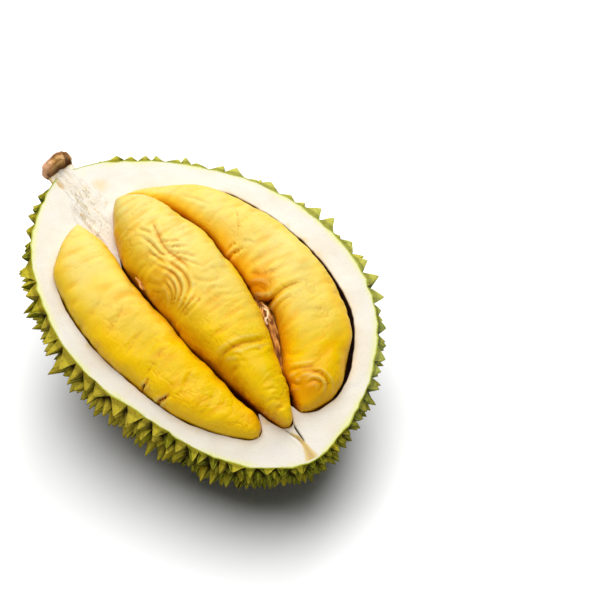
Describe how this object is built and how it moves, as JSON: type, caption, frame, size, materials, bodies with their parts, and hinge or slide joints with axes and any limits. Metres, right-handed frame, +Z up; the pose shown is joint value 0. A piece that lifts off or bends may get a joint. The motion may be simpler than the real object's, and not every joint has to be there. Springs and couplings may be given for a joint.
{
  "type": "durian half",
  "caption": "Durian cut lengthwise: a spiny green skin and white pith bowl holding yellow flesh pods, with a woody stem stub, lying on its back to show the edible flesh.",
  "frame": {"origin": "the blunted spine tip nearest the centre of mass, on the plane the half rests on", "axes": "+Z up; -X towards the stem end, along the fruit's long axis as seen from above; +Y towards the right-hand pod"},
  "size_m": [0.2332, 0.1854, 0.1295],
  "materials": {
    "rind": "matte waxy plant skin, olive green with browner spine tips",
    "pith": "matte, spongy and fibrous, creamy white",
    "aril": "soft satin skin, wrinkled, moist, golden yellow",
    "stem": "dry, creased, woody brown"
  },
  "bodies": {
    "root": {"rind": "rind", "pith": "pith", "aril_left": "aril", "aril_middle": "aril", "aril_right": "aril", "stem": "stem"}
  },
  "joints": []
}
